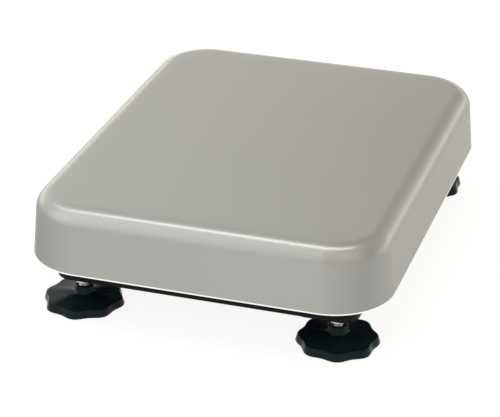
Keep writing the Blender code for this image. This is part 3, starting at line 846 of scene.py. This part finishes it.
def make_platform():
    node = "platform_plate"
    low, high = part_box(node)
    centre = (low + high) / 2
    bm = bmesh.new()
    rings = []
    edge = 0.0008
    for drop, z in ((edge, low.z), (0.0002, low.z + 0.0003), (0, low.z + edge), (0, high.z - edge),
                    (0.0002, high.z - 0.0003), (edge, high.z)):
        rings.append(rounded_ring(bm, high.x - drop, high.y - drop, 0.008 - drop, z, 8))
    join_rings(bm, rings)
    made = finish_mesh("platform_sheet", bm, "black_powder_coat", "platform", [node], 35)
    bore_for_screws(made, centre.z, centre.z, "upper_cell_screw_")

    for side in ("left", "right"):
        node = "platform_tube_" + side
        low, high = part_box(node)
        size = high - low
        place = Matrix.Translation((low + high) / 2)
        bm = bmesh.new()
        tube(bm, size.y / 2, size.x, size.z, place)
        finish_mesh("platform_bar_" + side, bm, "black_powder_coat", "platform", [node], 40)
        for end, word in ((low.y, "front"), (high.y, "rear")):
            make_end_plug(word + "_" + side, (low + high) / 2, size, end)

    bm = bmesh.new()
    seed = 0.4
    plate_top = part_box("platform_plate")[1].z
    for side in ("left", "right"):
        low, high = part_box("platform_tube_" + side)
        inner = high.x if side == "left" else low.x
        for y in (-0.058, -0.010, 0.038):
            start = Vector((inner, y, plate_top + JOINT_GAP))
            add_bead(bm, start, start + Vector((0, STITCH, 0)), 0.0013, seed)
            seed += 0.29
    finish_mesh("platform_welds", bm, "black_powder_coat", "platform", (), 60)


def make_end_plug(word, centre, size, end):
    """Moulded plug in the open end of a platform bar."""
    outward = 1 if end > 0 else -1
    hx = size.x / 2 - TUBE_WALL - 0.0001
    hz = size.z / 2 - TUBE_WALL - 0.0001
    place = Matrix.Translation((centre.x, end, centre.z)) @ pointing((0, outward, 0))
    bm = bmesh.new()
    rings = []
    for drop, depth in ((0.0, -0.012), (0.0, -0.0016), (0.0003, -0.0012), (0.0012, -0.0010)):
        rings.append(rounded_ring(bm, hx - drop, hz - drop, 0.0016, depth, 5))
    join_rings(bm, rings)
    bmesh.ops.transform(bm, matrix=place, verts=bm.verts)
    finish_mesh("end_plug_" + word, bm, "black_nylon", "platform", (), 35)


def make_bumper(name):
    """Rubber bumper under the pan, with a domed crown and a screw hole down its middle."""
    node = "pan_bumper_" + name
    low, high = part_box(node)
    outer = radius_of(node)
    rows = [(outer - 0.0007, low.z), (outer, low.z + 0.0007)]
    tall = high.z - low.z
    for k in range(8):
        angle = radians(90 * k / 7)
        height = low.z + tall * (0.62 + 0.38 * sin(angle))
        rows.append((outer - 0.0003 - 0.0022 * (1 - cos(angle)), height))
    head = low.z + 0.0014
    rows += [(0.0031, high.z), (0.0026, high.z - 0.0004), (0.0025, head)]
    lathe("bumper_" + name, rows, 72, "grey_rubber", "platform", standing_on(node), [node])
    socket = hexagon(0.0018)
    rows = [(0.0024, head), (0.0024, head + 0.0005), (0.0020, head + 0.0008),
            (offset(socket, 0.0001), head + 0.0008), (socket, head + 0.0002)]
    lathe("bumper_screw_" + name, rows, 48, "zinc_steel", "platform", standing_on(node))


# ---------------- load cell
SCREW_RADIUS = 0.004
SCREW_HEAD = 0.0065
SCREW_HEAD_HEIGHT = 0.0075
CELL_HOLE = 0.008
CELL_HOLE_Y = 0.013
CELL_SLOT = 0.0025          # half the height of the slot between the holes
GAUGE_COVER_OFFSET = 0.0017  # from the cell's middle plane to a cover's middle


def make_cell():
    """Bending beam: two holes joined by a slot make its window, and screws enter both ends."""
    node = "load_cell"
    low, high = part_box(node)
    centre = (low + high) / 2
    bm = box_mesh(low, high, 0.0009)
    made = finish_mesh("cell_bar", bm, "aluminium", None, [node], 30)
    cutters = []
    for side in (-1, 1):
        hole = (low.x - CUT_PAST, centre.y + side * CELL_HOLE_Y, centre.z)
        place = Matrix.Translation(hole) @ pointing((1, 0, 0))
        cutters.append(rod(CELL_HOLE, 0.0, 0.06, place, 64))
    slot_low = (low.x - CUT_PAST, centre.y - CELL_HOLE_Y, centre.z - CELL_SLOT)
    slot_high = (high.x + CUT_PAST, centre.y + CELL_HOLE_Y, centre.z + CELL_SLOT)
    cutters.append(box_mesh(slot_low, slot_high))
    for side in ("left", "right"):
        upper = standing_on("upper_cell_screw_" + side)
        lower = standing_on("lower_cell_screw_" + side)
        cutters.append(rod(M8_BORE, centre.z, high.z + CUT_PAST, upper))
        cutters.append(rod(M8_BORE, low.z - CUT_PAST, centre.z, lower))
    carve(made, cutters)
    bend_with_load(made)
    for side, word in ((-1, "lower"), (1, "upper")):
        # Silicone for a pair of gauges, in the slot and 0.4 mm off its floor or its roof
        middle_height = side * GAUGE_COVER_OFFSET
        fill_low = centre + Vector((-0.0135, -0.009, middle_height - 0.0004))
        fill_high = centre + Vector((0.0135, 0.009, middle_height + 0.0004))
        bm = box_mesh(fill_low, fill_high, 0.0003, 2)
        cover = finish_mesh("gauge_cover_" + word, bm, None, None, (), 40, (MATS["potting"],))
        bend_with_load(cover)


def bend_with_load(piece):
    """Bakes the piece's placement into its mesh; nothing is bent."""
    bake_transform(piece)


def make_screw(name, body, axis):
    """Socket-head screw: knurled head, hexagon socket and a plain shank."""
    low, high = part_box(name)
    centre = (low + high) / 2
    up = axis[2] > 0
    seat = high.z - SCREW_HEAD_HEIGHT if up else low.z + SCREW_HEAD_HEIGHT
    tip = seat - low.z if up else high.z - seat
    place = Matrix.Translation((centre.x, centre.y, seat)) @ pointing(axis)
    socket = hexagon(0.006)
    top = SCREW_HEAD_HEIGHT

    def knurl(angle):
        return SCREW_HEAD - 0.00022 * abs(sin(22 * angle))

    rows = [
        (SCREW_RADIUS * 0.8, -tip), (SCREW_RADIUS - 0.0001, -tip + 0.0010),
        (SCREW_RADIUS - 0.0001, 0.0), (SCREW_HEAD - 0.0004, 0.0), (SCREW_HEAD - 0.0003, 0.0004),
        (knurl, 0.0008), (knurl, top - 0.0014), (SCREW_HEAD - 0.0004, top - 0.0009),
        (SCREW_HEAD - 0.0006, top - 0.0004), (SCREW_HEAD - 0.0012, top),
        (offset(socket, 0.0004), top), (socket, top - 0.0004), (socket, top / 2),
        (0.0012, top / 2 - 0.0008),
    ]
    lathe("cap_" + name, rows, 132, "zinc_steel", body, place, [name], angle=32)


def make_spacer(name, body, screws):
    low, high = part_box(name)
    made = finish_mesh("cell_" + name, box_mesh(low, high, 0.0004), "zinc_steel", body, [name], 30)
    bore_for_screws(made, low.z, high.z, screws)


# ---------------- bubble level
def make_level():
    node = "level_housing"
    low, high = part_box(node)
    outer = radius_of(node)
    cup = outer - 0.0012
    rows = [
        (outer - 0.0005, low.z), (outer, low.z + 0.0005), (outer, low.z + 0.0028),
        (outer - 0.0004, low.z + 0.0034), (outer - 0.0004, high.z - 0.0008),
        (outer - 0.0006, high.z - 0.0003), (outer - 0.0009, high.z), (cup + 0.0001, high.z),
        (cup, high.z - 0.0003), (cup, low.z + 0.002),
    ]
    place = standing_on(node)
    lathe("level_case", rows, 96, "black_nylon", "base", place, [node], angle=35)

    node = "level_vial"
    low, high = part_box(node)
    glass = radius_of(node)
    rows = [(glass, low.z), (glass, high.z - 0.0012), (glass - 0.0003, high.z - 0.0009)]
    for k in range(1, 9):
        angle = radians(90 * k / 9)
        rows.append(((glass - 0.0003) * cos(angle), high.z - 0.0009 + 0.0009 * sin(angle)))
    lathe("level_lens", rows, 72, "level_liquid", "base", place, [node], angle=45)

    rows = []
    for radius, height in ((0.00195, 0.00005), (0.0021, 0.00012),
                           (0.0021, 0.0002), (0.00195, 0.00024)):
        rows.append((radius, high.z - 0.00015 + height))
    lathe("level_ring", rows, 64, "black_nylon", "base", place, (), True)
    bubble = Matrix.Translation((0.0004, -0.0003, 0)) @ place
    rows = []
    for k in range(7):
        angle = radians(90 * k / 7)
        rows.append((0.00155 * cos(angle), high.z - 0.0001 + 0.00035 * sin(angle)))
    lathe("level_bubble", rows, 48, "level_liquid", "base", bubble, (), angle=60,
          mats=(MATS["bubble"],))


# ---------------- gland and lead
def make_gland():
    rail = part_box("base_rail_rear")
    gland = middle("gland_body")
    axis = Matrix.Translation((gland.x, 0, gland.z)) @ pointing((0, 1, 0))
    outer = rail[1].y + JOINT_GAP
    inner = rail[0].y - JOINT_GAP

    flats = hexagon(0.015, 0.975)
    rows = [
        (0.0030, inner - 0.006), (0.0056, inner - 0.006), (0.0060, inner - 0.0056),
        (0.0060, outer), (offset(flats, -0.0005), outer), (flats, outer + 0.0005),
        (flats, outer + 0.0025), (offset(flats, -0.0005), outer + 0.003),
        (0.0055, outer + 0.003), (0.0055, outer + 0.007), (0.0030, outer + 0.007),
    ]
    lathe("gland_stem", rows, 96, "black_nylon", "base", axis, ["gland_body"], True)

    rows = nut_profile(inner - 0.0045, inner, 0.016, GLAND_BORE)
    lathe("gland_ring_nut", rows, 96, "black_nylon", "base", axis, ["gland_lock_nut"], True)

    def grip(angle):
        """Radius of the cap over its finger grooves."""
        return 0.0072 - 0.0005 * max(0.0, sin(12 * angle)) ** 2

    seat = outer + 0.0033
    rows = [
        (0.0059, seat), (0.0068, seat), (grip, seat + 0.0004), (grip, seat + 0.0056),
        (0.0067, seat + 0.0062),
    ]
    for k in range(1, 7):
        angle = radians(90 * k / 6)
        rows.append((0.0052 + 0.0015 * cos(angle), seat + 0.0062 + 0.0043 * sin(angle)))
    rows += [(0.0038, seat + 0.0105), (0.0036, seat + 0.0102), (0.0036, seat + 0.0085),
             (0.0059, seat + 0.0075)]
    lathe("gland_dome", rows, 144, "black_nylon", "base", axis, ["gland_cap"], True)

    rows = [
        (0.0024, outer + 0.0074), (0.0048, outer + 0.0074), (0.0048, outer + 0.0092),
        (0.0031, outer + 0.0102), (0.0031, outer + 0.0125), (0.0029, outer + 0.0128),
        (0.0024, outer + 0.0128),
    ]
    lathe("gland_bush", rows, 64, "grey_rubber", "base", axis, ["gland_seal"], True)


LEAD_RADIUS = 0.0021
LEAD_SIDES = 16


def smooth_route(points, count):
    """Points spread along a Catmull-Rom curve through the route's own points."""
    points = [Vector(p) for p in points]
    ends = [2 * points[0] - points[1]] + points + [2 * points[-1] - points[-2]]
    spans = len(points) - 1
    route = []
    for k in range(count):
        u = k / (count - 1) * spans
        i = min(int(u), spans - 1)
        t = u - i
        a, b, c, d = ends[i:i + 4]
        route.append((2 * b + (c - a) * t + (2 * a - 5 * b + 4 * c - d) * t ** 2
                      + (3 * b - a - 3 * c + d) * t ** 3) / 2)
    return route


def sweep(bm, route, radius, sides):
    """Round tube along a route, closed at both ends."""
    rings = []
    side = Vector((0, 0, 1))
    for k, point in enumerate(route):
        ahead = route[min(k + 1, len(route) - 1)] - route[max(k - 1, 0)]
        ahead.normalize()
        side = (side - side.dot(ahead) * ahead).normalized()
        third = ahead.cross(side)
        ring = []
        for i in range(sides):
            angle = 2 * pi * i / sides
            ring.append(bm.verts.new(point + radius * (cos(angle) * side + sin(angle) * third)))
        rings.append(ring)
    join_rings(bm, rings)


def make_lead():
    """Lead from a grommet in the load cell's side into the gland."""
    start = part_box("load_cell")[1].x + JOINT_GAP
    gland = middle("gland_body")
    route = [
        (start, 0.040, 0.061),
        (start + 0.007, 0.041, 0.0605),
        (0.036, 0.052, 0.057),
        (0.046, 0.078, 0.052),
        (0.056, 0.105, 0.047),
        (gland.x - 0.001, 0.128, gland.z + 0.0005),
        (gland.x, 0.143, gland.z),
        (gland.x, 0.158, gland.z),
    ]
    bm = bmesh.new()
    sweep(bm, smooth_route(route, 90), LEAD_RADIUS, LEAD_SIDES)
    finish_mesh("cell_lead", bm, "cable_jacket", "base", ["load_cell_lead"], 60)
    place = Matrix.Translation((start - JOINT_GAP, 0.040, 0.061)) @ pointing((1, 0, 0))
    rows = [(0.0023, 0.0), (0.0044, 0.0), (0.0044, 0.0009), (0.0040, 0.0013),
            (0.0031, 0.0016), (0.0028, 0.0042), (0.0025, 0.0046), (0.0023, 0.0046)]
    lathe("cell_grommet", rows, 48, "grey_rubber", "base", place, (), True)


# ---------------- stage, light and camera
CAMERA_AZIMUTH = 17.66
CAMERA_ELEVATION = 26.33
CAMERA_ROLL = 0.2
CAMERA_DISTANCE = 1.665
CAMERA_LENS = 141.4
AIM_RIGHT = -0.0127         # where the lens points, from the middle of the pan's top
AIM_UP = -0.0618


# Brightness of the studio along each axis: (position from -1 to 1, brightness, warmth). The
# height has two sets, for the half in front of the scale and the half behind it.
SKY_X = (
    (-1.00, 1.25, 0.02), (-0.42, 1.12, 0.02), (-0.27, 0.96, 0.03), (-0.14, 0.775, 0.07),
    (0.12, 0.74, 0.10), (0.45, 0.83, 0.10), (1.00, 0.80, 0.10),
)
SKY_Y = ((-0.42, 1.48, 0.0), (0.05, 1.00, 0.0))
SKY_Z_FRONT = ((0.00, 0.80, 0.0), (0.45, 0.96, 0.0), (0.80, 1.02, 0.0))
SKY_Z_BEHIND = ((0.00, 2.30, 0.0), (0.34, 1.13, 0.0), (0.60, 1.00, 0.0))
STRIP_HEIGHT = 1.70         # of the strip lights that draw the highlight on the front bend
FLOOR_GLOW = 0.90
FLOOR_GREY = 0.15


def make_camera():
    azimuth = radians(CAMERA_AZIMUTH)
    elevation = radians(CAMERA_ELEVATION)
    roll = radians(CAMERA_ROLL)
    back = Vector((sin(azimuth) * cos(elevation), -cos(azimuth) * cos(elevation), sin(elevation)))
    right = Vector((0, 0, 1)).cross(back).normalized()
    up = back.cross(right)
    target = Vector((0, 0, HIGH.z)) + AIM_RIGHT * right + AIM_UP * up
    data = bpy.data.cameras.new("camera")
    data.lens = CAMERA_LENS
    data.sensor_width = 36.0
    camera = add_object("camera", data)
    turned_right = cos(roll) * right + sin(roll) * up
    turned_up = cos(roll) * up - sin(roll) * right
    camera.matrix_world = Matrix.Translation(target + CAMERA_DISTANCE * back) @ Matrix(
        (turned_right, turned_up, back)).transposed().to_4x4()
    bpy.context.scene.camera = camera


def add_softbox(name, start, end, depth, radiance):
    """A strip light whose long side runs from start to end, facing the scale."""
    start, end = Vector(start), Vector(end)
    centre = (start + end) / 2
    right = (end - start).normalized()
    back = centre - Vector((0, 0, HIGH.z))
    back = (back - back.dot(right) * right).normalized()
    data = bpy.data.lights.new(name, "AREA")
    data.shape = "RECTANGLE"
    data.size = (end - start).length
    data.size_y = depth
    data.energy = radiance * pi * data.size * depth
    lamp = add_object(name, data)
    lamp.matrix_world = Matrix.Translation(centre) @ Matrix(
        (right, back.cross(right), back)).transposed().to_4x4()


def make_world():
    """A pale studio: brightest in front, on the left and low behind, dimmer to the right."""
    world = bpy.data.worlds.new("studio")
    bpy.context.scene.world = world
    world.use_nodes = True
    tree = world.node_tree
    background = tree.nodes["Background"]
    coords = tree.nodes.new("ShaderNodeTexCoord")
    split = tree.nodes.new("ShaderNodeSeparateXYZ")
    tree.links.new(coords.outputs["Generated"], split.inputs[0])

    def graded(axis, stops):
        """Brightness along one axis, given as (position, value, warmth) from -1 to 1."""
        place = tree.nodes.new("ShaderNodeMapRange")
        place.inputs["From Min"].default_value = -1.0
        tree.links.new(split.outputs[axis], place.inputs["Value"])
        ramp = tree.nodes.new("ShaderNodeValToRGB")
        ramp.color_ramp.interpolation = "EASE"
        elements = ramp.color_ramp.elements
        while len(elements) < len(stops):
            elements.new(0.5)
        for element, (position, value, warmth) in zip(elements, stops):
            element.position = (position + 1) / 2
            element.color = (value, value * (1 - 0.35 * warmth), value * (1 - warmth), 1.0)
        tree.links.new(place.outputs["Result"], ramp.inputs["Fac"])
        return ramp.outputs["Color"]

    def times(first, second):
        product = tree.nodes.new("ShaderNodeVectorMath")
        product.operation = "MULTIPLY"
        tree.links.new(first, product.inputs[0])
        tree.links.new(second, product.inputs[1])
        return product.outputs["Vector"]

    behind = tree.nodes.new("ShaderNodeMapRange")
    behind.inputs["From Min"].default_value = 0.0
    behind.inputs["From Max"].default_value = 0.5
    tree.links.new(split.outputs["Y"], behind.inputs["Value"])
    rise = tree.nodes.new("ShaderNodeMix")
    rise.data_type = "RGBA"
    tree.links.new(behind.outputs["Result"], rise.inputs[0])
    tree.links.new(graded("Z", SKY_Z_FRONT), rise.inputs[6])
    tree.links.new(graded("Z", SKY_Z_BEHIND), rise.inputs[7])
    light = times(graded("X", SKY_X), graded("Y", SKY_Y))
    tree.links.new(times(light, rise.outputs[2]), background.inputs["Color"])
    background.inputs["Strength"].default_value = 1.0


def make_stage():
    bm = bmesh.new()
    bmesh.ops.create_grid(bm, x_segments=1, y_segments=1, size=9.0)
    floor = add_object("floor", mesh_from("floor", bm))
    shader = Shader("pale_floor", Roughness=0.9)
    shader.bsdf.inputs["Base Color"].default_value = (FLOOR_GREY, FLOOR_GREY, FLOOR_GREY, 1.0)
    shader.bsdf.inputs["Emission Color"].default_value = (1.0, 0.995, 0.98, 1.0)
    shader.bsdf.inputs["Emission Strength"].default_value = FLOOR_GLOW
    shader.bsdf.inputs["Specular IOR Level"].default_value = 0.0
    floor.data.materials.append(shader.mat)


def make_lights():
    for name, start, end, depth, radiance in (
        ("far_left", (-1.60, 0.30), (-1.20, -0.20), 0.22, 1.8),
        ("left", (-1.20, -0.20), (-0.66, -0.22), 0.25, 1.9),
        ("middle", (-0.66, -0.22), (0.12, -0.22), 0.27, 3.2),
        ("right", (0.12, -0.20), (0.66, 0.10), 0.32, 2.3),
    ):
        add_softbox("strip_" + name, (*start, STRIP_HEIGHT), (*end, STRIP_HEIGHT), depth, radiance)
    bpy.context.scene.view_settings.view_transform = "Standard"


make_pan()
for name, (sx, sy) in CORNERS.items():
    make_disc(name)
    make_sole(name)
    make_foot_hardware(name)
    make_stop(name)
    make_corner(name, sx, sy)
    make_bumper(name)
make_rails()
make_frame_welds()
make_beam()
make_platform()
make_cell()
for side in ("left", "right"):
    make_screw("upper_cell_screw_" + side, "platform", (0, 0, 1))
    make_screw("lower_cell_screw_" + side, "base", (0, 0, -1))
make_spacer("upper_spacer", "platform", "upper_cell_screw_")
make_spacer("lower_spacer", "base", "lower_cell_screw_")
make_level()
make_gland()
make_lead()
make_stage()
make_world()
make_lights()
make_camera()
